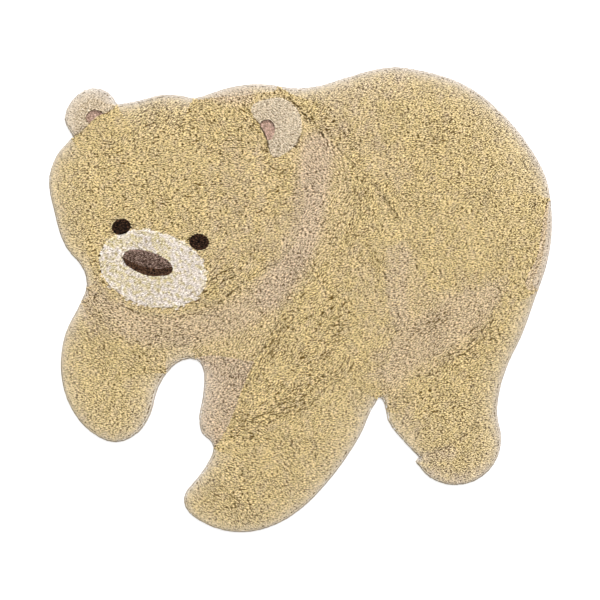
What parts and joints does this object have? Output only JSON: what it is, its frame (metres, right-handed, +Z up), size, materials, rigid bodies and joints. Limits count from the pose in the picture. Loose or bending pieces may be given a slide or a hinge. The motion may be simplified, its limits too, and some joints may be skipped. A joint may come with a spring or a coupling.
{
  "type": "bear shaped kids rug",
  "caption": "Flat tufted cotton rug in the outline of a walking bear, with a carved cut pile in sand, rose and cream fields on a woven ground cloth.",
  "frame": {"origin": "middle of the rug's outline, on the underside of the ground cloth, where it lies on the floor", "axes": "+X towards the bear's rump, -X towards its face, +Y towards its back, +Z up through the pile"},
  "size_m": [1.1, 1.0168, 0.019],
  "materials": {
    "sand_yarn": "crumbly cut cotton pile, sand",
    "rose_yarn": "cut cotton pile, rosy sand in the shaded parts",
    "ivory_yarn": "cut cotton pile, pale ears",
    "cream_yarn": "cut cotton pile, cream muzzle",
    "umber_yarn": "cut cotton pile, upper nose",
    "brown_yarn": "cut cotton pile, dark underside of the nose",
    "black_yarn": "cut cotton pile, nearly black eyes",
    "pink_yarn": "low dense pink-brown pile inside the ears",
    "canvas": "plain woven unbleached cotton ground cloth"
  },
  "bodies": {
    "root": {"ground_cloth": "canvas", "pile_head": "sand_yarn", "pile_body": "sand_yarn", "pile_left_foreleg": "sand_yarn", "pile_neck": "rose_yarn", "pile_far_foreleg": "rose_yarn", "pile_flank": "rose_yarn", "pile_tail": "rose_yarn", "muzzle": "cream_yarn", "nose_bridge": "umber_yarn", "nose_underside": "brown_yarn", "eye_left": "black_yarn", "eye_right": "black_yarn", "ear_left": "ivory_yarn", "ear_right": "ivory_yarn", "inner_ear_left": "pink_yarn", "inner_ear_right": "pink_yarn"}
  },
  "joints": []
}
